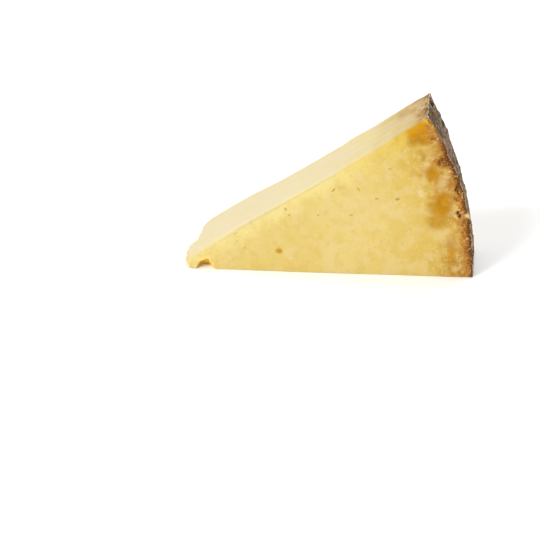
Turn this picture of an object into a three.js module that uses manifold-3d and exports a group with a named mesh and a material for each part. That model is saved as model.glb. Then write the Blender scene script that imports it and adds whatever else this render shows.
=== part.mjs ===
// A wedge of mature Cantal: one solid piece of pressed, uncooked cow's milk paste with its own
// dry, stony rind. It is a slice across a tall drum of cheese, cut again into a sector, and it
// rests on one of its two radial cuts with the pointed end, broken off blunt, to the left.
//
// Millimetres. +X runs along the base from the point to the rind, +Y through the thickness of
// the slice and +Z up. The origin is the middle of the base. The relief is worked out in the
// drum's own frame, whose axis lies along Y through the place where the two radial cuts meet.
import * as THREE from 'three';
import { ImprovedNoise } from 'three/addons/math/ImprovedNoise.js';
import { mergeVertices } from 'three/addons/utils/BufferGeometryUtils.js';
import Module from 'manifold-3d';

const { degToRad, lerp, smoothstep } = THREE.MathUtils;

// The drum and the two cuts that free the wedge.
const WHEEL_RADIUS = 190;
const WEDGE_ANGLE = degToRad(34.2);
const THICKNESS = 38.6;

// The broken point: how far from the drum's axis the paste begins, at the front face, at
// mid-thickness and at the back face, and where across the thickness it steps between them.
// It leans back by the chin below and the brow above, and lumps of curd stand out of it.
const POINT_FRONT = 11.5;
const POINT_MIDDLE = 20;
const POINT_BACK = 27.5;
const POINT_STEP = [15, 18.5];
const POINT_BACK_STEP = [30, THICKNESS];
const POINT_STEP_AT_BASE = 0.6;
const POINT_CHIN = 2.4;
const POINT_CHIN_END = 0.4;
const POINT_BROW = 1.2;
const POINT_BROW_START = 0.7;
const POINT_LUMP = 1.3;
const POINT_LUMP_HEIGHT = 14;

// The chip that is missing from the lower front edge, just behind the point.
const CHIP_CENTRE = [23.2, 0, 0];
const CHIP_SIZE = [4.8, 7.2, 6.6];

// The upper cut sags, comes part of the way back at the rind and twists from front to back,
// and the knife left a low ledge in it. Its edges are worn round, most of all at the point,
// but less at the foot of the point.
// What it does fades to nothing at the base, by this power of the height.
const CUT_SAG = 1.4;
const CUT_SAG_SPAN = [40, 128];
const CUT_RETURN = 1.2;
const CUT_RETURN_SPAN = [128, WHEEL_RADIUS];
const CUT_TWIST = [0.9, -0.6];
const CUT_TWIST_SPAN = [40, 85];
const LEDGE_RADIUS = 127;
const LEDGE_LENGTH = 24;
const LEDGE_HEIGHT = 0.5;
const LEDGE_UP = [0, 0.25];
const LEDGE_DOWN = [0.4, 1];
const LIFT_FADE = 3;
const CUT_WAVE = 0.4;
const EDGE_ROUND = [4, 1.3];
const EDGE_ROUND_SPAN = [14, 70];
const FOOT_ROUND = 0.45;
const FOOT_ROUND_END = 0.5;

// The rind: flatter at the back than the drum it was part of, with broad hollows, crags and
// pits in the crust, and a rim that crumbled at the cuts. Above its foot the front rim stands
// out a little.
const RIND_FLAT = 2.9;
const RIND_HOLLOW = 0.45;
const RIND_CRAG = 0.6;
const RIND_PIT = 1.6;
const PITTED_ABOVE = [0.2, 0.6];
const RIM_WIDTH = 4;
const RIM_CRUMBLE = 0.7;
const RIM_SWELL = 0.7;
const RIM_SWELL_SPAN = [15, 45];
const CRUMBLED_ABOVE = [-0.3, 0.6];
const CRUMBLY_BAND = [9, 2];
const CRUMB_RELIEF = 0.8;
const CRUMB_MEAN = 0.4;

// Steps of the surface grid along the radius, through the thickness and round the angle.
const RADIAL_STEPS = 36;
const THICKNESS_STEPS = 13;
const ANGLE_STEPS = 28;
const RADIAL_CROWDING = 0.62;
const THICKNESS_CROWDING = 0.35;

// The small eyes and tears that show in the front face: place from the drum's axis and height
// above the base, length, width and tilt from level in degrees.
const FRONT_EYES = [
  { x: 103, z: 57, length: 3.2, width: 1.1, tilt: 56 },
  { x: 118, z: 58, length: 3.6, width: 1.1, tilt: -42 },
  { x: 129.5, z: 52, length: 2.9, width: 1.1, tilt: 4 },
  { x: 142, z: 52, length: 3.2, width: 1.9, tilt: 12 },
  { x: 137, z: 72, length: 2.8, width: 1.0, tilt: -8 },
  { x: 94, z: 40, length: 1.8, width: 1.1, tilt: 20 },
  { x: 114, z: 40.5, length: 1.9, width: 1.1, tilt: 0 },
  { x: 74, z: 43, length: 2.9, width: 1.6, tilt: -50 },
  { x: 76.5, z: 39, length: 2.0, width: 1.1, tilt: 10 },
  { x: 53, z: 34, length: 2.5, width: 1.3, tilt: 8 },
  { x: 43.5, z: 25, length: 2.6, width: 1.7, tilt: 30 },
  { x: 48.5, z: 15.5, length: 2.1, width: 1.2, tilt: 0 },
];
const EYE_DEPTH = 1.1;

// The back face, which has its own eyes, spread by the golden angle so that none repeats.
const BACK_EYES = 12;
const BACK_EYE_RANGE = [42, 160];
const BACK_EYE_HEIGHTS = [0.16, 0.86];
const BACK_EYE_LENGTHS = [1.8, 3.4];
const BACK_EYE_WIDTHS = [0.35, 0.6];
const GOLDEN_RATIO = (Math.sqrt(5) - 1) / 2;
const GOLDEN_ANGLE = Math.PI * (3 - Math.sqrt(5));

// How broad the features of each kind of relief are.
const SIZE = {
  lump: 5,
  hollow: 15,
  crag: 5.5,
  pit: 8,
  rim: 7,
  faceWave: 42,
  upperWave: 24,
  crumb: 4.5,
};

// Each kind of relief reads its own layer of the noise.
const LAYER = {
  hollow: 0.4,
  crag: 15.2,
  pit: 3.2,
  frontRim: 11.3,
  backRim: 14.9,
  point: 0.5,
  upperCut: 8.3,
  frontCut: 1.7,
  backCut: 12.6,
  crumbs: 3,
};

const field = new ImprovedNoise();

// Smooth noise between about -1 and 1 whose features are `size` millimetres across.
function noise(a, b, size, layer) {
  return field.noise(a / size, b / size, layer);
}

// Moves evenly spaced steps towards both ends of 0..1, where the detail is.
function crowd(t, amount) {
  return t - (amount * Math.sin(2 * Math.PI * t)) / (2 * Math.PI);
}

// 1 at both ends of a length and 0 further in than `width`.
function nearEnds(distance, length, width) {
  return 1 - smoothstep(Math.min(distance, length - distance), 0, width);
}

// Distance from the drum's axis to the broken point, `across` mm from the front face and `up`
// from 0 at the base to 1 at the upper cut.
function pointRadius(across, up) {
  const middle = (POINT_MIDDLE - POINT_FRONT) * smoothstep(across, ...POINT_STEP);
  const back = (POINT_BACK - POINT_MIDDLE) * smoothstep(across, ...POINT_BACK_STEP);
  const chin = POINT_CHIN * (1 - smoothstep(up, 0, POINT_CHIN_END));
  const brow = POINT_BROW * smoothstep(up, POINT_BROW_START, 1);
  const lump = POINT_LUMP * noise(across, up * POINT_LUMP_HEIGHT, SIZE.lump, LAYER.point);
  return POINT_FRONT + lerp(POINT_STEP_AT_BASE, 1, up) * (middle + back) + chin + brow + lump;
}

// How far the crust lies inside the drum's mean cylinder, `along` mm round the rim.
function crustDepth(along, across) {
  const fromMiddle = (2 * along) / (WHEEL_RADIUS * WEDGE_ANGLE) - 1;
  const flat = RIND_FLAT * (across / THICKNESS) * (1 / 3 - fromMiddle ** 2);
  const hollow = RIND_HOLLOW * noise(along, across, SIZE.hollow, LAYER.hollow);
  const crag = RIND_CRAG * noise(along, across, SIZE.crag, LAYER.crag);
  const rim = nearEnds(across, THICKNESS, RIM_WIDTH);
  const pitted = smoothstep(noise(along, across, SIZE.pit, LAYER.pit), ...PITTED_ABOVE);
  const pit = RIND_PIT * (1 - rim) * pitted;
  const layer = across < THICKNESS / 2 ? LAYER.frontRim : LAYER.backRim;
  const broken = smoothstep(noise(along, 0, SIZE.rim, layer), ...CRUMBLED_ABOVE);
  const swell = across < THICKNESS / 2 ? rim * smoothstep(along, ...RIM_SWELL_SPAN) : 0;
  return flat + hollow + crag + pit - RIM_SWELL * swell + RIM_CRUMBLE * rim * broken;
}

// How far a flat cut face lies inside its mean plane, at x, z in the drum's frame.
function cutDepth(x, z, layer) {
  const [start, full] = CRUMBLY_BAND.map((depth) => WHEEL_RADIUS - depth);
  const band = smoothstep(Math.hypot(x, z), start, full);
  const wave = CUT_WAVE * noise(x, z, SIZE.faceWave, layer);
  const crumb = CRUMB_MEAN + noise(x, z, SIZE.crumb, layer + LAYER.crumbs);
  return wave + CRUMB_RELIEF * band * crumb;
}

// How far the upper cut stands off its mean plane, at a distance from the drum's axis.
function upperCut(radius, across) {
  const sag = CUT_SAG * smoothstep(radius, ...CUT_SAG_SPAN);
  const back = CUT_RETURN * smoothstep(radius, ...CUT_RETURN_SPAN);
  const twist = lerp(...CUT_TWIST, smoothstep(radius, ...CUT_TWIST_SPAN));
  const past = (radius - LEDGE_RADIUS) / LEDGE_LENGTH;
  const ledge = LEDGE_HEIGHT * smoothstep(past, ...LEDGE_UP) * (1 - smoothstep(past, ...LEDGE_DOWN));
  const wave = CUT_WAVE * noise(radius, across, SIZE.upperWave, LAYER.upperCut);
  return back - sag + ledge + wave + twist * (across / THICKNESS);
}

// Takes the distances from three faces that meet in a corner and rounds the corner and its
// edges to a radius. Points further in than the radius stay where they are.
function rounded(distances, radius) {
  const [u, v, w] = distances.map((distance) => Math.max(1 - distance / radius, 0));
  const ease = (a, b) => Math.sqrt(1 - a * a / 2 - b * b / 2 + (a * a * b * b) / 3);
  return [u * ease(v, w), v * ease(w, u), w * ease(u, v)].map((eased, i) => (
    distances[i] < radius ? radius * (1 - eased) : distances[i]
  ));
}

// The wedge's own coordinates, each from 0 to 1: out from the point to the rind, through the
// thickness from front to back, and up from the base to the upper cut.
function place(out, through, up, target) {
  const side = through < 0.5 ? through : 1 - through;
  const inner = pointRadius(THICKNESS * through, up);
  const along = WHEEL_RADIUS * WEDGE_ANGLE * up;
  const outer = WHEEL_RADIUS - crustDepth(along, THICKNESS * through);
  const straight = lerp(inner, outer, out);
  const full = lerp(...EDGE_ROUND, smoothstep(straight, ...EDGE_ROUND_SPAN));
  const round = full * lerp(FOOT_ROUND, 1, smoothstep(up, 0, FOOT_ROUND_END));
  const below = straight * WEDGE_ANGLE * (1 - up);
  const eased = rounded([straight - inner, THICKNESS * side, below], round);
  const radius = inner + eased[0];
  const across = through < 0.5 ? eased[1] : THICKNESS - eased[1];
  const angle = WEDGE_ANGLE - eased[2] / radius;
  const lift = upperCut(radius, across) * (angle / WEDGE_ANGLE) ** LIFT_FADE;
  const x = radius * Math.cos(angle) - lift * Math.sin(WEDGE_ANGLE);
  const z = radius * Math.sin(angle) + lift * Math.cos(WEDGE_ANGLE);
  const front = cutDepth(x, z, LAYER.frontCut);
  const back = THICKNESS - cutDepth(x, z, LAYER.backCut);
  return target.set(x, lerp(front, back, across / THICKNESS), z);
}

// A block with a fine grid on each side, pulled into the shape of the wedge.
function bodyGeometry() {
  const block = new THREE.BoxGeometry(1, 1, 1, RADIAL_STEPS, THICKNESS_STEPS, ANGLE_STEPS);
  block.deleteAttribute('normal');
  block.deleteAttribute('uv');
  const geometry = mergeVertices(block);
  const position = geometry.attributes.position;
  const vertex = new THREE.Vector3();
  for (let i = 0; i < position.count; i += 1) {
    vertex.fromBufferAttribute(position, i).addScalar(0.5);
    const out = crowd(vertex.x, RADIAL_CROWDING);
    const through = crowd(vertex.y, THICKNESS_CROWDING);
    place(out, through, vertex.z, vertex);
    position.setXYZ(i, vertex.x, vertex.y, vertex.z);
  }
  return geometry;
}

// A small ball, stretched, turned about Y and set in place: what an eye or a chip takes away.
function hollowGeometry({ centre, size, tilt = 0, detail = 1 }) {
  const ball = new THREE.IcosahedronGeometry(1, detail);
  ball.deleteAttribute('normal');
  ball.deleteAttribute('uv');
  ball.scale(...size);
  ball.rotateY(-degToRad(tilt));
  ball.translate(...centre);
  return mergeVertices(ball);
}

// An eye in a flat cut face at y = `faceY`: an ellipsoid that reaches EYE_DEPTH into the paste.
function eyeHollow({ x, z, length, width, tilt }, faceY) {
  return hollowGeometry({ centre: [x, faceY, z], size: [length / 2, EYE_DEPTH, width / 2], tilt });
}

function frontHollows() {
  return FRONT_EYES.map((eye) => eyeHollow(eye, cutDepth(eye.x, eye.z, LAYER.frontCut)));
}

function backHollows() {
  const hollows = [];
  for (let i = 0; i < BACK_EYES; i += 1) {
    const radius = lerp(...BACK_EYE_RANGE, Math.sqrt((i + 0.5) / BACK_EYES));
    const turn = (i * GOLDEN_ANGLE) % 1;
    const angle = WEDGE_ANGLE * lerp(...BACK_EYE_HEIGHTS, turn);
    const x = radius * Math.cos(angle);
    const z = radius * Math.sin(angle);
    const length = lerp(...BACK_EYE_LENGTHS, (i * GOLDEN_RATIO) % 1);
    const width = length * lerp(...BACK_EYE_WIDTHS, turn);
    const eye = { x, z, length, width, tilt: 180 * turn - 90 };
    hollows.push(eyeHollow(eye, THICKNESS - cutDepth(x, z, LAYER.backCut)));
  }
  return hollows;
}

const wasm = await Module();
wasm.setup();

function solid(geometry) {
  return new wasm.Manifold(new wasm.Mesh({
    numProp: 3,
    vertProperties: new Float32Array(geometry.attributes.position.array),
    triVerts: new Uint32Array(geometry.index.array),
  }));
}

function wedgeGeometry() {
  const chip = hollowGeometry({ centre: CHIP_CENTRE, size: CHIP_SIZE, detail: 2 });
  let body = solid(bodyGeometry());
  for (const hollow of [chip, ...frontHollows(), ...backHollows()]) {
    body = body.subtract(solid(hollow));
  }
  const cut = body.getMesh();
  const geometry = new THREE.BufferGeometry();
  geometry.setAttribute('position', new THREE.BufferAttribute(cut.vertProperties, 3));
  geometry.setIndex(new THREE.BufferAttribute(cut.triVerts, 1));
  geometry.computeVertexNormals();
  return geometry;
}

function makeWedge() {
  const paste = new THREE.MeshStandardMaterial({ color: 0xefd58a, roughness: 0.55, metalness: 0 });
  const mesh = new THREE.Mesh(wedgeGeometry(), paste);
  mesh.name = 'wedge';
  mesh.geometry.computeBoundingBox();
  const middle = mesh.geometry.boundingBox.getCenter(new THREE.Vector3());
  mesh.position.set(-middle.x, -middle.y, 0);
  return mesh;
}

const cheese = new THREE.Group();
cheese.add(makeWedge());

export default cheese;
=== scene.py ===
import math

import bmesh
import bpy
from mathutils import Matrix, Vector, noise


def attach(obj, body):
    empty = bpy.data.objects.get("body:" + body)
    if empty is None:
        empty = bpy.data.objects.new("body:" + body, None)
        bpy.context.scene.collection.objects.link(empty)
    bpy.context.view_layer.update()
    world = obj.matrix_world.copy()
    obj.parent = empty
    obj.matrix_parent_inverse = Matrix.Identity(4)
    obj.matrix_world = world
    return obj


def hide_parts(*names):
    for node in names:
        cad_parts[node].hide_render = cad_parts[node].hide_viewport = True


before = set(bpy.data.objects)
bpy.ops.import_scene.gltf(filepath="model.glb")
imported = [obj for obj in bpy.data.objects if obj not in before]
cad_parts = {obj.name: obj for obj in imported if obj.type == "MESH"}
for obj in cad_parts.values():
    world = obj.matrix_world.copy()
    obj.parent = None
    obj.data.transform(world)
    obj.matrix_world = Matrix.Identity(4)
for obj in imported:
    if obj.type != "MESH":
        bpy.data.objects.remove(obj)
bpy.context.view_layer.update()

MM = 0.001  # the sizes below are in millimetres, and Blender works in metres


# --- The camera: a long lens well back from the wedge, a little to the left of its axis
# and looking down on it. Its target is a point near the middle of the front face's foot.
AXIS_PLACE = Vector((-101.15, -19.37, 0.0))  # the drum's axis, from the middle of the base
CAMERA_TARGET = AXIS_PLACE + Vector((64.3, 0.0, 0.7))
CAMERA_DISTANCE = 1137.6
CAMERA_TURN = math.radians(4.1)
CAMERA_RISE = math.radians(28.0)
CAMERA_LENS = 121.9

camera = bpy.data.objects.new("camera", bpy.data.cameras.new("camera"))
bpy.context.collection.objects.link(camera)
backwards = Vector(
    (
        math.sin(CAMERA_TURN) * math.cos(CAMERA_RISE),
        -math.cos(CAMERA_TURN) * math.cos(CAMERA_RISE),
        math.sin(CAMERA_RISE),
    )
)
camera.location = (CAMERA_TARGET + backwards * CAMERA_DISTANCE) * MM
camera.rotation_euler = backwards.to_track_quat("Z", "Y").to_euler()
camera.data.lens = CAMERA_LENS
camera.data.clip_end = 20.0
bpy.context.scene.camera = camera


# --- The wedge: one piece of pressed paste with its own dry rind, cut from a drum by two radial
# cuts and broken off blunt at the point. A block with eased edges is cut into a fine grid,
# finest at the crust, the point and the eyes, and bent into its place in the drum.
WHEEL_RADIUS = 190.0
WEDGE_ANGLE = math.radians(34.2)
THICKNESS = 38.6
BLOCK_SIZE = Vector((168.0, THICKNESS, WHEEL_RADIUS * WEDGE_ANGLE))
BLOCK_CELLS = (110, 26, 76)
BLOCK_EASE = 0.5

# The broken point, from the drum's axis, at the front face, at mid-thickness and at the back.
POINT_FRONT = 11.5
POINT_MIDDLE = 20.0
POINT_BACK = 27.5
POINT_STEP = (15.0, 18.5)
POINT_BACK_STEP = (30.0, THICKNESS)
POINT_LEAN = 0.6  # the share of its step back that is left at the foot
POINT_HEIGHT = 14
POINT_CHIN = 2.4
POINT_CHIN_TOP = 0.4
POINT_BROW = 1.2
POINT_BROW_FOOT = 0.7
POINT_LUMP = 1.3
POINT_LUMP_SIZE = 5.0
POINT_CURD = 0.5
POINT_CURD_SIZE = 2.1
BREAK_DEPTH = 2.5

# The chip out of the lower front edge, and how far it reaches before and behind its middle.
CHIP_PLACE = 23.2
CHIP_REACH = (4.6, 6.0)
CHIP_DEPTH = 7.2
CHIP_HEIGHT = 6.6

# The upper cut sags, comes part of the way back at the rind and twists from front to back.
CUT_SAG = 1.4
CUT_SAG_SPAN = (40.0, 128.0)
CUT_RETURN = 1.2
CUT_RETURN_SPAN = (128.0, WHEEL_RADIUS)
CUT_TWIST = (0.9, -0.6)
CUT_TWIST_SPAN = (40.0, 85.0)
LEDGE_RADIUS = 127.0
LEDGE_LENGTH = 24.0
LEDGE_HEIGHT = 0.5
CUT_WAVE = 0.4
CUT_WAVE_SIZE = 24

# How round the edges are worn, from the point to the thick of the wedge, and the share of that
# which is left at the foot.
EDGE_ROUND = (4.0, 1.3)
EDGE_ROUND_SPAN = (14.0, 70.0)
FOOT_ROUND = 0.45
FOOT_ROUND_END = 0.5

# The rind and the crumbly paste just inside it. Both rims are crumbled, and the front one stands
# out a little above its foot. Each size is that of the features of one layer of relief.
RIND_FLAT = 2.9
RIND_HOLLOW = 0.45
RIND_HOLLOW_SIZE = 15
RIND_CRAG = 0.6
RIND_CRAG_SIZE = 5.5
RIND_PIT = 1.5
RIND_PIT_SIZE = 8
RIND_BARK = 0.42
RIM_WIDTH = 3.0
RIM_SWELL = 0.7
RIM_SWELL_SPAN = (15.0, 45.0)
RIM_CRUMBLE = 0.7
RIM_CRUMBLE_SIZES = (9, 3.1)
RIM_FLAKES = (0.5, 2.6)
CRUMBLY_BAND = 9.0
CRUMBLY_FULL = 2
CRUMB_RELIEF = 0.8
CRUMB_SIZE = 4.5
FACE_WAVE_SIZE = 42

# The grain of the smooth paste and of the crumbly band, the low swell of both, and the grain of
# the break. All grain is moved inwards a little, so that it stays within the wedge's own size.
CURD_GRAIN = (0.05, 0.3)
CURD_SWELL = 0.09
POINT_GRAIN = 0.4
POINT_GRAIN_SPAN = (0.0, 4.0)
GRAIN_INWARDS = 0.19

# Eyes and tears in the front face: x from the drum's axis, z, length, width, tilt in degrees,
# and how much they are darkened inside, partly by a brown tint and partly by painted shade.
FRONT_EYES = (
    (103.0, 57.0, 3.2, 1.1, 56, 0.9),
    (118.0, 58.0, 3.6, 1.1, -42, 0.7),
    (129.5, 52.0, 2.9, 1.1, 4, 0.8),
    (142.0, 52.0, 3.2, 1.9, 12, 1.0),
    (137.0, 72.0, 2.8, 1.0, -8, 0.6),
    (94.0, 40.0, 1.8, 1.1, 20, 0.5),
    (114.0, 40.5, 1.9, 1.1, 0, 0.4),
    (74.0, 43.0, 2.9, 1.6, -50, 0.6),
    (76.5, 39.0, 2.0, 1.1, 10, 0.5),
    (53.0, 34.0, 2.5, 1.3, 8, 0.4),
    (43.5, 25.0, 2.6, 1.7, 30, 0.4),
    (48.5, 15.5, 2.1, 1.2, 0, 0.4),
)
EYE_DEPTH = 0.4
EYE_LIP = 0.06
EYE_LIP_END = 2.4
EYE_RAGGED = 0.45
EYE_RAGGED_SIZE = 1.3

# The back face has as many eyes, spread evenly by the golden ratio. Their angles are shares of
# the wedge's, and their widths are shares of their lengths.
BACK_EYES = 12
BACK_EYE_RANGE = (42.0, 160.0)
BACK_EYE_ANGLES = (0.16, 0.86)
BACK_EYE_LENGTHS = (1.8, 3.4)
BACK_EYE_WIDTHS = (0.35, 0.6)
BACK_EYE_DARKENING = 0.7
GOLDEN_RATIO = (math.sqrt(5) - 1) / 2
GOLDEN_ANGLE = math.pi * (3 - math.sqrt(5))

# Where the paste has changed colour. Each stain is an ellipse: x from the drum's axis, z, half
# length, half width, tilt in degrees and strength.
STAINS = {
    "gold": (
        (151.5, 98.5, 10.5, 7.0, 34, 1.0),
        (156.5, 98.0, 5.0, 6.0, 60, 0.7),
        (141.0, 92.0, 10.0, 3.6, 34, 0.35),
        (132.0, 82.0, 14.0, 5.0, 34, 0.22),
    ),
    "amber": (
        (154.0, 91.6, 11.0, 5.6, 10, 0.9),
        (161.0, 84.5, 7.0, 6.0, 0, 0.5),
        (162.3, 70.0, 7.6, 6.4, -60, 0.95),
        (169.5, 52.0, 8.6, 7.4, 75, 1.0),
        (167.5, 46.5, 9.6, 9.0, 0, 0.95),
        (165.5, 37.5, 10.0, 9.0, 0, 0.7),
        (175.5, 52.0, 4.0, 3.0, 0, 0.6),
        (176.0, 18.0, 6.0, 15.0, 0, 0.7),
        (69.2, 14.6, 4.2, 3.4, 0, 0.9),
        (108.4, 57.5, 4.0, 3.0, 0, 0.3),
        (25.0, 10.0, 8.0, 4.6, 20, 0.36),
        (50.0, 14.0, 12.0, 5.0, 10, 0.2),
    ),
    "pale": (
        (168.0, 62.5, 4.6, 6.4, -20, 0.95),
        (158.0, 80.0, 5.0, 2.6, 10, 0.3),
        (139.0, 68.5, 2.6, 2.2, 0, 0.5),
    ),
    "cream": (
        (122.0, 44.0, 40.0, 18.0, 18, 0.42),
        (155.4, 56.3, 2.2, 3.6, -10, 0.85),
        (159.6, 76.6, 3.4, 2.0, 0, 0.5),
        (153.0, 40.0, 2.4, 4.0, 0, 0.35),
        (158.0, 46.0, 1.6, 3.0, -20, 0.4),
        (173.0, 71.4, 1.7, 1.3, 20, 0.9),
        (184.2, 41.8, 2.8, 1.9, 30, 1.0),
        (181.4, 44.4, 2.2, 1.2, 40, 0.7),
        (161.4, 102.6, 1.1, 1.7, 20, 0.8),
        (162.6, 95.4, 1.3, 1.0, -50, 0.5),
        (165.0, 92.6, 1.1, 1.9, 10, 0.5),
    ),
    "rust": (
        (169.0, 77.6, 7.2, 5.0, 0, 0.76),
        (169.6, 84.4, 5.0, 7.8, 15, 0.72),
        (162.0, 91.6, 3.4, 1.8, 0, 0.6),
        (160.0, 99.0, 3.6, 7.0, 20, 0.42),
        (176.5, 67.0, 3.4, 1.9, 0, 0.85),
        (178.2, 60.0, 8.6, 1.9, -68, 0.85),
        (179.4, 43.2, 3.6, 3.4, 80, 1.0),
        (178.4, 54.0, 3.0, 2.0, -60, 0.6),
        (185.6, 35.0, 6.4, 1.7, -82, 0.95),
        (181.0, 36.0, 2.4, 4.0, 0, 0.6),
    ),
}
STAIN_DEPTH = 9.0
STAIN_FADE = (0.2, 1.25)
STAIN_WARP = 2.4
STAIN_WARP_SIZE = 5.5
STAIN_FRAY_SIZE = 2.1

# How wide the rusty crumbs run along the rind: millimetres round the rim from the base, width.
RUST_WIDTHS = (
    (0.0, 6.0),
    (22.0, 8.0),
    (37.0, 8.6),
    (46.0, 6.0),
    (56.0, 5.8),
    (67.0, 6.2),
    (75.0, 6.2),
    (83.0, 8.0),
    (90.0, 7.0),
    (97.0, 5.0),
    (114.0, 3.5),
)
RUST_INSIDE = 3.4
RUST_EASE = (-0.3, 1.4)
RUST_STRENGTH = (0.92, 0.62)
RUST_FADE_SPAN = (88.0, 104.0)

# How softly the yellow of the cut faces turns into the cream of the upper cut, from the point to
# the rind, and how much of that change lies below the edge and over it.
SOFT_EDGE = (5.0, 2.6)
SOFT_EDGE_SPAN = (30.0, 165.0)
SOFT_EDGE_BELOW = 1.4
SOFT_EDGE_OVER = 0.7

# How far the finer grid reaches: in from the rind, beside an edge, in from the point, and past
# the chip and the eyes. Only edges longer than the last value are halved.
LONG_EDGE = 10
FINE_BAND = 11
FINE_EDGE = 0.8
FINE_POINT = 12
CHIP_SEARCH = (20, CHIP_DEPTH + 3)
CHIP_MARGIN = (1, 1.5)
EYE_SEARCH = 6
EYE_MARGIN = 3.2
SHORTEST_CUT = 0.3


def mix(a, b, t):
    return a + (b - a) * t


def smoothstep(value, low, high):
    t = min(max((value - low) / (high - low), 0.0), 1.0)
    return t * t * (3 - 2 * t)


def relief(a, b, size, layer):
    """Noise with features of a size in millimetres. Each layer is a pattern of its own."""
    return noise.noise(Vector((a / size, b / size, layer)))


def fractal(where, size, octaves):
    return noise.fractal(where / size, 1.0, 2.0, octaves)


def back_eyes():
    for i in range(BACK_EYES):
        radius = mix(*BACK_EYE_RANGE, math.sqrt((i + 0.5) / BACK_EYES))
        turn = (i * GOLDEN_ANGLE) % 1
        angle = WEDGE_ANGLE * mix(*BACK_EYE_ANGLES, turn)
        length = mix(*BACK_EYE_LENGTHS, (i * GOLDEN_RATIO) % 1)
        width = length * mix(*BACK_EYE_WIDTHS, turn)
        spot = (radius * math.cos(angle), radius * math.sin(angle))
        yield *spot, length, width, 180 * turn - 90, BACK_EYE_DARKENING


def in_ellipse(x, z, middle_x, middle_z, half_length, half_width, tilt):
    """How far out from an ellipse's middle a point is: 0 at the middle and 1 at the rim."""
    dx = x - middle_x
    dz = z - middle_z
    tilt = math.radians(tilt)
    along = dx * math.cos(tilt) + dz * math.sin(tilt)
    across = dz * math.cos(tilt) - dx * math.sin(tilt)
    return math.hypot(along / half_length, across / half_width)


def in_eye(x, z, eye):
    ragged_x = x + EYE_RAGGED * relief(x, z, EYE_RAGGED_SIZE, 41.5)
    ragged_z = z + EYE_RAGGED * relief(x, z, EYE_RAGGED_SIZE, 45.5)
    return in_ellipse(ragged_x, ragged_z, eye[0], eye[1], eye[2] / 2, eye[3] / 2, eye[4])


def point_radius(across, up):
    middle = (POINT_MIDDLE - POINT_FRONT) * smoothstep(across, *POINT_STEP)
    back = (POINT_BACK - POINT_MIDDLE) * smoothstep(across, *POINT_BACK_STEP)
    chin = POINT_CHIN * (1 - smoothstep(up, 0.0, POINT_CHIN_TOP))
    brow = POINT_BROW * smoothstep(up, POINT_BROW_FOOT, 1.0)
    lump = POINT_LUMP * relief(across, up * POINT_HEIGHT, POINT_LUMP_SIZE, 0.5)
    curd = POINT_CURD * relief(across, up * POINT_HEIGHT, POINT_CURD_SIZE, 6.2)
    return POINT_FRONT + mix(POINT_LEAN, 1.0, up) * (middle + back) + chin + brow + lump + curd


def crust_depth(along, across):
    from_middle = 2 * along / BLOCK_SIZE.z - 1
    flat = RIND_FLAT * (across / THICKNESS) * (1 / 3 - from_middle**2)
    hollow = RIND_HOLLOW * relief(along, across, RIND_HOLLOW_SIZE, 0.4)
    crag = RIND_CRAG * relief(along, across, RIND_CRAG_SIZE, 15.2)
    rim = 1 - smoothstep(min(across, THICKNESS - across), 0.0, RIM_WIDTH)
    pitted = smoothstep(relief(along, across, RIND_PIT_SIZE, 9.1), 0.25, 0.6)
    pit = RIND_PIT * (1 - rim) * pitted
    layer = 11.3 if across < THICKNESS / 2 else 14.9
    large, small = (relief(along, 0, size, layer) for size in RIM_CRUMBLE_SIZES)
    broken = large + 0.6 * small
    crumbled = RIM_CRUMBLE * rim * smoothstep(broken, 0.0, 0.7)
    swell = 0.0
    if across < THICKNESS / 2:
        swell = RIM_SWELL * rim * smoothstep(along, *RIM_SWELL_SPAN)
    return flat + hollow + crag + pit + crumbled - swell


def cut_depth(x, z, layer):
    radius = math.hypot(x, z)
    band = smoothstep(radius, WHEEL_RADIUS - CRUMBLY_BAND, WHEEL_RADIUS - CRUMBLY_FULL)
    wave = CUT_WAVE * relief(x, z, FACE_WAVE_SIZE, layer)
    crumbs = CRUMB_RELIEF * band * (0.4 + relief(x, z, CRUMB_SIZE, layer + 3))
    return wave + crumbs


def upper_cut(radius, across):
    sag = CUT_SAG * smoothstep(radius, *CUT_SAG_SPAN)
    back = CUT_RETURN * smoothstep(radius, *CUT_RETURN_SPAN)
    twist = mix(*CUT_TWIST, smoothstep(radius, *CUT_TWIST_SPAN))
    past = (radius - LEDGE_RADIUS) / LEDGE_LENGTH
    ledge = LEDGE_HEIGHT * smoothstep(past, 0, 0.25) * (1 - smoothstep(past, 0.4, 1))
    wave = CUT_WAVE * relief(radius, across, CUT_WAVE_SIZE, 8.3)
    return back - sag + ledge + wave + twist * across / THICKNESS


def rounded(distances, radius):
    """Distances from three faces that meet in a corner, with its edges rounded to a radius."""
    u, v, w = (max(1 - distance / radius, 0.0) for distance in distances)

    def eased(own, a, b, distance):
        if own == 0:
            return distance
        ease = math.sqrt(1 - a * a / 2 - b * b / 2 + a * a * b * b / 3)
        return radius * (1 - own * ease)

    return (
        eased(u, v, w, distances[0]),
        eased(v, w, u, distances[1]),
        eased(w, u, v, distances[2]),
    )


def chip_wall(x, across, z):
    """The depth and height of the chip at x, and how far out from its middle the point is."""
    ragged = 1 + 0.22 * relief(x + 40, across - z, 2.6, 3.3)
    reach = CHIP_REACH[0] if x < CHIP_PLACE else CHIP_REACH[1]
    wide = math.sqrt(max(1 - ((x - CHIP_PLACE) / (reach * ragged)) ** 2, 0.0001))
    depth = CHIP_DEPTH * ragged * wide
    height = CHIP_HEIGHT * ragged * wide
    return depth, height, math.hypot(max(across, 0) / depth, max(z, 0) / height)


def chipped(x, across, z):
    """The point moved onto the wall of the chip, if it lies inside it."""
    depth, height, out = chip_wall(x, across, z)
    if out >= 1:
        return across, z
    angle = mix(math.pi / 4, math.atan2(max(across, 0) / depth, max(z, 0) / height), out)
    return depth * math.sin(angle), height * math.cos(angle)


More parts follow.
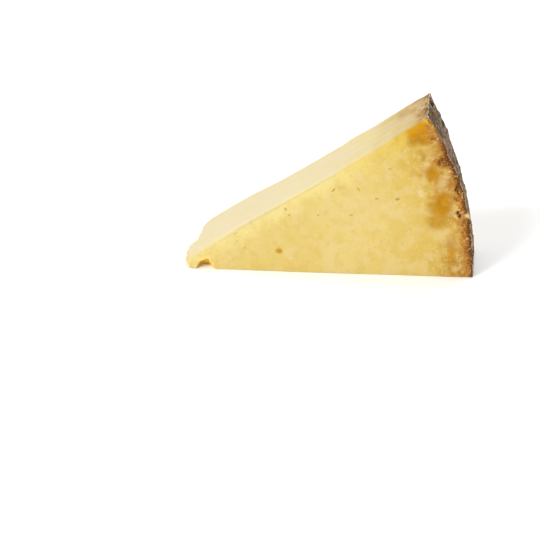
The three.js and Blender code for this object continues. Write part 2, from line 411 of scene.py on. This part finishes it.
def place(block):
    """A point of the block, moved to where it belongs in the drum's own frame."""
    up = block.z / BLOCK_SIZE.z
    inner = point_radius(block.y, up)
    outer = WHEEL_RADIUS - crust_depth(block.z, block.y)
    straight = mix(inner, outer, block.x / BLOCK_SIZE.x)
    side = min(block.y, THICKNESS - block.y)
    below = straight * WEDGE_ANGLE * (1 - up)
    edge = mix(*EDGE_ROUND, smoothstep(straight, *EDGE_ROUND_SPAN))
    edge *= mix(FOOT_ROUND, 1.0, smoothstep(up, 0.0, FOOT_ROUND_END))
    out, side, below = rounded((straight - inner, side, below), edge)
    radius = inner + out
    across = side if block.y < THICKNESS / 2 else THICKNESS - side
    angle = WEDGE_ANGLE - below / radius
    lift = upper_cut(radius, across) * (angle / WEDGE_ANGLE) ** 3
    x = radius * math.cos(angle) - lift * math.sin(WEDGE_ANGLE)
    z = radius * math.sin(angle) + lift * math.cos(WEDGE_ANGLE)
    y = mix(cut_depth(x, z, 1.7), THICKNESS - cut_depth(x, z, 12.6), across / THICKNESS)
    y, z = chipped(x, y, z)
    return Vector((x, y, z))


def block_edges(bm, axis, wanted=lambda middle: True):
    """The edges along one axis of the block whose middles are wanted."""
    picked = []
    for edge in bm.edges:
        run = edge.verts[1].co - edge.verts[0].co
        if abs(run[axis]) > 0.99 * run.length:
            if wanted((edge.verts[0].co + edge.verts[1].co) / 2):
                picked.append(edge)
    return picked


eyes_by_face = {0.0: FRONT_EYES, THICKNESS: tuple(back_eyes())}


def near_eye(middle):
    if min(middle.y, THICKNESS - middle.y) > 0.01:
        return False
    radius = mix(POINT_MIDDLE, WHEEL_RADIUS, middle.x / BLOCK_SIZE.x)
    angle = WEDGE_ANGLE * middle.z / BLOCK_SIZE.z
    x = radius * math.cos(angle)
    z = radius * math.sin(angle)
    eyes = eyes_by_face[0.0 if middle.y < THICKNESS / 2 else THICKNESS]
    if not any(math.hypot(x - eye[0], z - eye[1]) < eye[2] / 2 + EYE_SEARCH for eye in eyes):
        return False
    spot = place(middle)
    return any(in_eye(*spot.xz, eye) < 1 + EYE_MARGIN / eye[3] for eye in eyes)


def near_chip(middle):
    if middle.x > CHIP_SEARCH[0] or middle.y > CHIP_SEARCH[1]:
        return False
    spot = place(middle)
    beside = abs(spot.x - CHIP_PLACE) < CHIP_REACH[1] + CHIP_MARGIN[0]
    return beside and spot.z < CHIP_HEIGHT + CHIP_MARGIN[1]


def in_band(middle):
    return middle.x > BLOCK_SIZE.x - FINE_BAND


def shown_band(middle):
    return in_band(middle) and (middle.y < FINE_EDGE or middle.z > BLOCK_SIZE.z - FINE_EDGE)


def on_rind(middle):
    return middle.x > BLOCK_SIZE.x - FINE_EDGE


def near_point(middle):
    return middle.x < FINE_POINT


def rust_width(along):
    for (start, first), (end, last) in zip(RUST_WIDTHS, RUST_WIDTHS[1:]):
        if along <= end:
            return mix(first, last, smoothstep(along, start, end))
    return RUST_WIDTHS[-1][1]


bm = bmesh.new()
bmesh.ops.create_cube(bm, size=1.0)
bmesh.ops.translate(bm, verts=bm.verts, vec=(0.5, 0.5, 0.5))
bmesh.ops.scale(bm, verts=bm.verts, vec=BLOCK_SIZE)
bmesh.ops.bevel(
    bm, geom=bm.edges[:], offset=BLOCK_EASE, segments=3, profile=0.5, affect="EDGES", material=-1
)
for axis, cells in enumerate(BLOCK_CELLS):
    long_edges = [e for e in block_edges(bm, axis) if e.calc_length() > LONG_EDGE]
    bmesh.ops.subdivide_edges(bm, edges=long_edges, cuts=cells - 1, use_grid_fill=True)
detail = (
    ((0, 1, 2), in_band),
    ((1, 2), lambda middle: on_rind(middle) or shown_band(middle)),
    ((0,), shown_band),
    ((0, 1), near_point),
    ((0, 1), near_chip),
    ((0, 1, 2), near_eye),
    ((0, 1, 2), near_eye),
)
for axes, wanted in detail:
    found = [e for axis in axes for e in block_edges(bm, axis, wanted)]
    picked = [e for e in found if e.calc_length() > SHORTEST_CUT]
    bmesh.ops.subdivide_edges(bm, edges=picked, cuts=1, use_grid_fill=True)

marks = {
    name: bm.verts.layers.float.new(name)
    for name in ("crust", "rim", "upper", "broken", "chip", "eye", *STAINS)
}
grain_of = {}
for vert in bm.verts:
    block = vert.co.copy()
    straight = mix(POINT_FRONT, WHEEL_RADIUS, block.x / BLOCK_SIZE.x)
    below = straight * WEDGE_ANGLE * (1 - block.z / BLOCK_SIZE.z)
    depth = min(block.y, THICKNESS - block.y)
    soft_edge = mix(*SOFT_EDGE, smoothstep(straight, *SOFT_EDGE_SPAN))
    on_top = min(depth, block.x) - below
    vert[marks["upper"]] = smoothstep(
        on_top, -SOFT_EDGE_BELOW * soft_edge, SOFT_EDGE_OVER * soft_edge
    )
    vert[marks["crust"]] = smoothstep(block.x, BLOCK_SIZE.x - BLOCK_EASE, BLOCK_SIZE.x)
    vert[marks["rim"]] = vert[marks["crust"]] * (1 - smoothstep(min(depth, below), *RIM_FLAKES))
    vert[marks["broken"]] = 1 - smoothstep(block.x, 0.0, BREAK_DEPTH)
    vert.co = place(block)
    at_front = block.y < THICKNESS / 2
    inwards = 1 if at_front else -1
    for eye in eyes_by_face[0.0 if at_front else THICKNESS]:
        out = in_eye(*vert.co.xz, eye)
        if depth < 0.01 and out < EYE_LIP_END:
            sunk = EYE_DEPTH * (1 - smoothstep(out, 0.2, 1.05))
            lip = smoothstep(out, 0.9, 1.4) * (1 - smoothstep(out, 1.4, EYE_LIP_END))
            vert.co.y += inwards * (sunk - EYE_LIP * lip)
            vert[marks["eye"]] = eye[5] * (1 - smoothstep(out, 0.4, 1.4)) - 0.15 * lip

    band = smoothstep(block.x, BLOCK_SIZE.x - CRUMBLY_BAND, BLOCK_SIZE.x - CRUMBLY_FULL)
    amount = mix(*CURD_GRAIN, band) * (1 - vert[marks["crust"]])
    torn = 1 - smoothstep(block.x, *POINT_GRAIN_SPAN)
    grain_of[vert] = amount * fractal(vert.co, 1.7, 3)
    grain_of[vert] += CURD_SWELL * fractal(vert.co, 6.5, 2)
    grain_of[vert] += RIND_BARK * vert[marks["crust"]] * fractal(vert.co, 2.8, 4)
    grain_of[vert] += POINT_GRAIN * torn * fractal(vert.co, 3.0, 3)

    # The back face has the front's stains upside down, so that the two never look alike.
    radius = math.hypot(*vert.co.xz)
    angle = math.atan2(vert.co.z, vert.co.x)
    if not at_front:
        angle = WEDGE_ANGLE - angle
    x = radius * math.cos(angle)
    z = radius * math.sin(angle)
    warped_x = x + STAIN_WARP * relief(x, z, STAIN_WARP_SIZE, 21.5)
    warped_x += relief(x, z, STAIN_FRAY_SIZE, 31.5)
    warped_z = z + STAIN_WARP * relief(x, z, STAIN_WARP_SIZE, 25.1)
    warped_z += relief(x, z, STAIN_FRAY_SIZE, 35.1)
    at_face = 1 - smoothstep(depth, 0.0, STAIN_DEPTH)
    for name, stains in STAINS.items():
        for stain in stains:
            out = in_ellipse(warped_x, warped_z, *stain[:5])
            strength = stain[5] * at_face * (1 - smoothstep(out, *STAIN_FADE))
            vert[marks[name]] = max(vert[marks[name]], strength)
    along = WHEEL_RADIUS * angle
    width = mix(RUST_INSIDE, rust_width(along), at_face)
    rusted = 1 - smoothstep((BLOCK_SIZE.x - block.x) / width, *RUST_EASE)
    rusted *= mix(*RUST_STRENGTH, smoothstep(along, *RUST_FADE_SPAN))
    vert[marks["rust"]] = max(rusted, vert[marks["rust"]])
    vert[marks["chip"]] = 1 - smoothstep(chip_wall(*vert.co)[2], 1.0, 1.5)

bm.normal_update()
for vert, grain in grain_of.items():
    vert.co += vert.normal * (grain - GRAIN_INWARDS) * smoothstep(vert.co.z, 0.0, 0.8)
bmesh.ops.translate(bm, verts=bm.verts, vec=AXIS_PLACE)
bmesh.ops.scale(bm, verts=bm.verts, vec=(MM, MM, MM))
mesh = bpy.data.meshes.new("cheese_wedge")
bm.to_mesh(mesh)
bm.free()
for polygon in mesh.polygons:
    polygon.use_smooth = True
wedge = bpy.data.objects.new("cheese_wedge", mesh)
bpy.context.collection.objects.link(wedge)


def srgb(red, green, blue, light=1.0):
    """The colour that looks like this, from 0 to 255, on a face that so much light reaches."""

    def linear(value):
        value /= 255
        linear_value = value / 12.92 if value <= 0.04045 else ((value + 0.055) / 1.055) ** 2.4
        return linear_value / light

    return linear(red), linear(green), linear(blue), 1.0


class Material:
    """A node material under construction."""

    def __init__(self, name):
        self.material = bpy.data.materials.new(name)
        self.material.use_nodes = True
        self.tree = self.material.node_tree
        self.shader = self.tree.nodes["Principled BSDF"]

    def add(self, kind, inputs=(), output=0, **settings):
        """Adds a node and gives back one of its outputs."""
        node = self.tree.nodes.new("ShaderNode" + kind)
        for name, value in settings.items():
            setattr(node, name, value)
        for name, value in dict(inputs).items():
            self.set(node.inputs[name], value)
        return node.outputs[output]

    def set(self, socket, value):
        if isinstance(value, bpy.types.NodeSocket):
            self.tree.links.new(value, socket)
        else:
            socket.default_value = value

    def math(self, operation, *values, clamp=False):
        return self.add("Math", enumerate(values), operation=operation, use_clamp=clamp)

    def times(self, *values):
        product = values[0]
        for value in values[1:]:
            product = self.math("MULTIPLY", product, value)
        return product

    def noise(self, where, size, detail=2.0, roughness=0.5):
        """Noise from 0 to 1 with features of a size in millimetres."""
        inputs = {"Vector": where, "Scale": 1 / size, "Detail": detail, "Roughness": roughness}
        return self.add("TexNoise", inputs)

    def spread(self, value, by):
        """Noise centred on 0 and stretched to about so much either way."""
        return self.math("MULTIPLY", self.math("SUBTRACT", value, 0.5), 4 * by)

    def step(self, value, low, high):
        """0 below the low value, 1 above the high one and smooth between."""
        inputs = {"Value": value, "From Min": low, "From Max": high}
        return self.add("MapRange", inputs, interpolation_type="SMOOTHSTEP")

    def blend(self, amount, under, over):
        inputs = {"Factor": amount, 6: under, 7: over}
        return self.add("Mix", inputs, output=2, data_type="RGBA")

    def mark(self, name):
        return self.add("Attribute", attribute_name=name, output="Fac")

    def ramp(self, value, stops):
        """A colour for each value, from (value, colour) pairs between 0 and 1."""
        node = self.add("ValToRGB", {"Fac": value}).node
        node.color_ramp.elements[0].position = stops[0][0]
        node.color_ramp.elements[1].position = stops[-1][0]
        for position, _ in stops[1:-1]:
            node.color_ramp.elements.new(position)
        for element, (_, colour) in zip(node.color_ramp.elements, stops):
            element.color = colour
        return node.outputs["Color"]


# How much light reaches each side of the wedge, with 1 as what makes white paper look white.
FRONT_LIGHT = 1.29
UPPER_LIGHT = 1.46
RIND_LIGHT = 1.13


def front(red, green, blue):
    return srgb(red, green, blue, FRONT_LIGHT)


def upper(red, green, blue):
    return srgb(red, green, blue, UPPER_LIGHT)


def rind(red, green, blue):
    return srgb(red, green, blue, RIND_LIGHT)


cheese = Material("cheese")
metres = cheese.add("TexCoord", output="Object")
drum = cheese.add("Mapping", {"Vector": metres, "Scale": (1 / MM,) * 3, "Location": -AXIS_PLACE})
flat = cheese.add("VectorMath", {0: drum, 1: (1.0, 0.0, 1.0)}, operation="MULTIPLY")
radius = cheese.add("VectorMath", {0: flat}, output="Value", operation="LENGTH")
downwards = (math.sin(WEDGE_ANGLE), 0.0, -math.cos(WEDGE_ANGLE))
below = cheese.add("VectorMath", {0: drum, 1: downwards}, output="Value", operation="DOT_PRODUCT")

broad = cheese.noise(drum, 26, detail=1)
soft = cheese.noise(drum, 9, detail=2)
curd = cheese.noise(drum, 4.2, detail=3, roughness=0.6)
fine = cheese.noise(drum, 2.0, detail=3, roughness=0.6)
grain = cheese.noise(drum, 0.8, detail=2)
crumbs = cheese.noise(drum, 1.7, detail=4, roughness=0.65)

# Cut paste: cream at the point, deeper yellow and then tan towards the rind, and mottled.
depth = cheese.math("SUBTRACT", WHEEL_RADIUS, radius)
uneven = cheese.math("ADD", cheese.spread(broad, 7.0), cheese.spread(soft, 5.0))
uneven = cheese.math("ADD", uneven, cheese.spread(curd, 3.0))
uneven = cheese.math("MULTIPLY", uneven, cheese.step(depth, -10.0, 25.0))
age = cheese.math("DIVIDE", cheese.math("ADD", depth, uneven), 100.0)
paste = cheese.ramp(
    age,
    (
        (0.0, front(174, 108, 34)),
        (0.04, front(190, 130, 44)),
        (0.09, front(204, 152, 60)),
        (0.16, front(218, 176, 80)),
        (0.27, front(231, 198, 98)),
        (0.5, front(242, 213, 126)),
        (0.75, front(244, 219, 138)),
        (1.0, front(240, 213, 128)),
    ),
)
mottle = cheese.step(cheese.noise(drum, 12, detail=3), 0.44, 0.64)
paste = cheese.blend(cheese.times(mottle, 0.6), paste, front(245, 220, 154))
mottle = cheese.step(cheese.noise(drum, 6.5, detail=3), 0.46, 0.66)
paste = cheese.blend(cheese.times(mottle, 0.5), paste, front(235, 203, 104))
near_rind = cheese.step(depth, 60.0, 12.0)
mottle = cheese.step(curd, 0.48, 0.64)
paste = cheese.blend(cheese.times(mottle, near_rind, 0.55), paste, front(240, 209, 124))

# A lighter, yellower band runs under the upper edge: a painted glow of light that enters the upper cut
# and shines out through the front face.
edge = cheese.math("ADD", below, cheese.spread(soft, 5.0))
edge = cheese.math("ADD", edge, cheese.spread(curd, 1.5))
edge = cheese.step(edge, 15.0, 2.0)
painted_glow = cheese.blend(cheese.step(depth, 80.0, 20.0), front(254, 236, 157), front(243, 214, 98))
paste = cheese.blend(cheese.times(edge, 0.85), paste, painted_glow)

# Small pale specks over the paste: painted highlights, a sparkle of light on the curd grains.
highlight_specks = cheese.times(cheese.step(fine, 0.58, 0.68), cheese.step(soft, 0.42, 0.6))
paste = cheese.blend(cheese.times(highlight_specks, 0.6), paste, front(250, 233, 165))
pinholes = cheese.times(cheese.step(cheese.noise(drum, 1.5, detail=1), 0.3, 0.24), 0.5)
paste = cheese.blend(pinholes, paste, front(202, 160, 76))

# Stains: gold under the upper edge, amber, and a pale bloom.
gold = cheese.blend(cheese.step(below, 2.0, 10.0), front(225, 166, 2), front(202, 134, 8))
gold = cheese.blend(cheese.times(cheese.step(fine, 0.5, 0.66), 0.5), gold, front(226, 160, 50))
gold_mark = cheese.math("ADD", cheese.mark("gold"), cheese.spread(curd, 0.2))
paste = cheese.blend(cheese.step(gold_mark, 0.08, 0.8), paste, gold)
amber = cheese.blend(cheese.step(curd, 0.35, 0.65), front(190, 126, 2), front(212, 156, 24))
amber_mark = cheese.math("ADD", cheese.mark("amber"), cheese.spread(curd, 0.2))
paste = cheese.blend(cheese.step(amber_mark, 0.1, 1.0), paste, amber)
pale_mark = cheese.math("ADD", cheese.mark("pale"), cheese.spread(curd, 0.25))
pale = cheese.times(cheese.step(pale_mark, 0.15, 0.95), 0.75)
paste = cheese.blend(pale, paste, front(228, 194, 132))

# Against the rind the paste has dried to crumbs, tan at first and then rusty brown, darkest along the
# rind itself, where the darkest line is partly rust and partly painted shade in the gap where the rind
# meets the paste, with paler crumbs scattered among them.
speckle = cheese.math("ADD", cheese.spread(curd, 0.16), cheese.spread(crumbs, 0.5))
speckle = cheese.times(speckle, cheese.step(cheese.mark("rust"), 0.0, 0.3))
rusty = cheese.math("ADD", cheese.mark("rust"), speckle)
rust = cheese.ramp(
    rusty,
    (
        (0.25, front(214, 162, 76)),
        (0.42, front(204, 142, 54)),
        (0.58, front(172, 106, 34)),
        (0.76, front(128, 74, 18)),
        (0.95, front(80, 44, 10)),
    ),
)
paste = cheese.blend(cheese.step(rusty, 0.2, 0.42), paste, rust)
rim_rust_and_shade = cheese.step(cheese.math("ADD", depth, cheese.spread(curd, 1.4)), 2.8, 0.6)
rim_rust_and_shade = cheese.times(rim_rust_and_shade, cheese.step(cheese.mark("rust"), 0.3, 0.8), 0.6)
paste = cheese.blend(rim_rust_and_shade, paste, front(88, 52, 16))
pale_crumbs = cheese.times(cheese.step(crumbs, 0.55, 0.65), cheese.step(cheese.mark("rust"), 0.1, 0.6))
paste = cheese.blend(cheese.times(pale_crumbs, 0.8), paste, front(236, 190, 120))

# Cream crumbs and a creamy middle, then the eyes with their paler lips, and the chip.
cream_mark = cheese.math("ADD", cheese.mark("cream"), cheese.spread(curd, 0.2))
cream = cheese.times(cheese.step(cream_mark, 0.15, 0.8), 0.9)
paste = cheese.blend(cream, paste, front(244, 220, 158))
# Inside the eyes the paste is darkened, partly a brown tint and partly painted shade in the hollows.
paste = cheese.blend(cheese.step(cheese.mark("eye"), 0.0, 1.2), paste, front(206, 166, 72))
paste = cheese.blend(cheese.step(cheese.mark("eye"), 0.0, -0.6), paste, front(250, 234, 170))
# The chip's wall is painted a bright amber: painted light, standing in for light glowing through the
# paste into the chip's shade.
paste = cheese.blend(cheese.mark("chip"), paste, srgb(255, 212, 104))

# The upper cut: older and drier, with streaks along the knife's way and brown specks by the rind.
# Its paler, less yellow cream is partly that dryness and partly painted sheen.
lengthwise = cheese.add("Mapping", {"Vector": drum, "Scale": (0.06, 1.0, 0.06)})
streaks = cheese.noise(lengthwise, 1.9, detail=4, roughness=0.6)
dry_and_sheen = cheese.ramp(
    age,
    (
        (0.0, upper(134, 88, 46)),
        (0.02, upper(170, 128, 74)),
        (0.06, upper(200, 162, 99)),
        (0.15, upper(222, 196, 138)),
        (0.28, upper(234, 212, 150)),
        (0.5, upper(241, 223, 168)),
        (1.0, upper(244, 228, 182)),
    ),
)
bloom = cheese.times(cheese.step(cheese.noise(drum, 11, detail=3), 0.46, 0.64), 0.6)
dry_and_sheen = cheese.blend(bloom, dry_and_sheen, cheese.blend(near_rind, upper(243, 226, 192), upper(236, 212, 164)))
streaky = cheese.times(cheese.step(streaks, 0.46, 0.64), cheese.step(depth, 60.0, 10.0))
dry_and_sheen = cheese.blend(cheese.times(streaky, 0.6), dry_and_sheen, upper(202, 172, 112))
dry_and_sheen = cheese.blend(cheese.times(cheese.step(streaks, 0.48, 0.68), 0.2), dry_and_sheen, upper(234, 211, 150))
browned = cheese.times(cheese.step(fine, 0.52, 0.62), cheese.step(depth, 9.0, 1.0))
dry_and_sheen = cheese.blend(browned, dry_and_sheen, upper(146, 98, 50))
crumbled = cheese.times(cheese.step(crumbs, 0.54, 0.64), cheese.step(depth, 6.0, 1.0))
dry_and_sheen = cheese.blend(cheese.times(crumbled, 0.9), dry_and_sheen, upper(240, 202, 156))
on_top = cheese.step(cheese.math("ADD", cheese.mark("upper"), cheese.spread(curd, 0.12)), 0.1, 0.9)
paste = cheese.blend(on_top, paste, dry_and_sheen)
# Painted shade along the rounded upper edge, which the key light otherwise shows brighter than either
# face.
painted_edge_shade = cheese.times(cheese.step(on_top, 0.0, 0.5), cheese.step(on_top, 1.0, 0.5))
painted_edge_shade = cheese.times(painted_edge_shade, cheese.step(depth, 20.0, 60.0), 0.7)
paste = cheese.blend(painted_edge_shade, paste, front(236, 219, 148))

# The rind: mauve and grey-brown, with dark mouldy patches that pale crust outlines, and pale
# flakes where it broke at the cuts.
around = cheese.add("Mapping", {"Vector": drum, "Scale": (1.0, 0.6, 1.0)})
patches = cheese.noise(around, 7, detail=5, roughness=0.62)
crust = cheese.ramp(
    cheese.noise(around, 15, detail=4, roughness=0.6),
    (
        (0.34, rind(96, 82, 60)),
        (0.46, rind(124, 102, 86)),
        (0.54, rind(146, 119, 108)),
        (0.66, rind(156, 134, 110)),
    ),
)
crust = cheese.blend(cheese.times(cheese.step(patches, 0.49, 0.55), 0.7), crust, rind(192, 174, 144))
crust = cheese.blend(cheese.step(patches, 0.54, 0.62), crust, rind(62, 54, 36))
tinge = cheese.times(cheese.step(cheese.noise(around, 10, detail=4), 0.53, 0.68), 0.6)
crust = cheese.blend(tinge, crust, rind(150, 96, 56))
crust = cheese.blend(cheese.step(crumbs, 0.47, 0.34), crust, rind(62, 50, 34))
crust = cheese.blend(cheese.times(cheese.step(crumbs, 0.56, 0.68), 0.7), crust, rind(186, 168, 138))
flakes = cheese.math("ADD", cheese.mark("rim"), cheese.spread(curd, 0.6))
crust = cheese.blend(cheese.step(flakes, 0.62, 0.85), crust, rind(224, 204, 166))
colour = cheese.blend(cheese.mark("crust"), paste, crust)
cheese.set(cheese.shader.inputs["Base Color"], colour)

roughness = cheese.math("MULTIPLY_ADD", cheese.mark("crust"), 0.4, 0.42)
roughness = cheese.math("MULTIPLY_ADD", cheese.mark("rust"), 0.2, roughness)
roughness = cheese.math("MULTIPLY_ADD", fine, 0.16, roughness, clamp=True)
cheese.set(cheese.shader.inputs["Roughness"], roughness)

height = cheese.times(soft, 0.3)
height = cheese.math("MULTIPLY_ADD", fine, 0.14, height)
height = cheese.math("MULTIPLY_ADD", grain, 0.05, height)
height = cheese.math("MULTIPLY_ADD", cheese.times(streaks, cheese.mark("upper")), 0.3, height)
rough_parts = cheese.math("MAXIMUM", cheese.mark("crust"), cheese.mark("rust"))
rough_parts = cheese.math("MAXIMUM", rough_parts, cheese.times(cheese.mark("broken"), 0.7))
height = cheese.math("MULTIPLY_ADD", cheese.times(crumbs, rough_parts), 1.3, height)
scabs = cheese.math("SUBTRACT", cheese.step(patches, 0.46, 0.54), cheese.step(patches, 0.55, 0.62))
height = cheese.math("MULTIPLY_ADD", cheese.times(scabs, cheese.mark("crust")), 0.35, height)
bump = cheese.add("Bump", {"Height": height, "Distance": MM, "Strength": 1.0})
cheese.set(cheese.shader.inputs["Normal"], bump)

cheese.shader.inputs["Specular IOR Level"].default_value = 0.12
cheese.shader.inputs["Subsurface Weight"].default_value = 0.35
cheese.shader.inputs["Subsurface Radius"].default_value = (1.0, 0.6, 0.25)
cheese.shader.inputs["Subsurface Scale"].default_value = 2.5 * MM

mesh.materials.append(cheese.material)
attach(wedge, "root")
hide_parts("wedge")


# --- The floor: a wide plain pale sheet just under the base.
FLOOR_WIDTH = 8.0
FLOOR_DROP = 0.0001
FLOOR_COLOUR = srgb(248, 248, 247)

bm = bmesh.new()
bmesh.ops.create_grid(bm, x_segments=1, y_segments=1, size=FLOOR_WIDTH / 2)
floor_mesh = bpy.data.meshes.new("floor")
bm.to_mesh(floor_mesh)
bm.free()
floor = bpy.data.objects.new("floor", floor_mesh)
bpy.context.collection.objects.link(floor)
floor.location.z = -FLOOR_DROP
floor_material = bpy.data.materials.new("floor")
floor_material.use_nodes = True
floor_shader = floor_material.node_tree.nodes["Principled BSDF"]
floor_shader.inputs["Base Color"].default_value = FLOOR_COLOUR
floor_shader.inputs["Roughness"].default_value = 0.9
floor_mesh.materials.append(floor_material)


# --- The light: a white surround, a large soft source high on the left, one overhead and a weak
# one that fills in the back.
def softbox(name, spot, size, power):
    light = bpy.data.lights.new(name, "AREA")
    light.shape = "DISK"
    light.size = size
    light.energy = power
    source = bpy.data.objects.new(name, light)
    bpy.context.collection.objects.link(source)
    source.location = spot
    source.rotation_euler = Vector(spot).to_track_quat("Z", "Y").to_euler()


softbox("key", (-1.8, -1.8, 2.0), 1.3, 74.0)
softbox("overhead", (0.2, 0.4, 3.2), 2.2, 42.0)
softbox("fill", (1.2, 2.6, 1.6), 1.8, 26.0)

world = bpy.data.worlds.new("studio")
world.use_nodes = True
world.node_tree.nodes["Background"].inputs["Color"].default_value = (1.0, 1.0, 1.0, 1.0)
world.node_tree.nodes["Background"].inputs["Strength"].default_value = 0.5
bpy.context.scene.world = world
bpy.context.scene.view_settings.view_transform = "Standard"
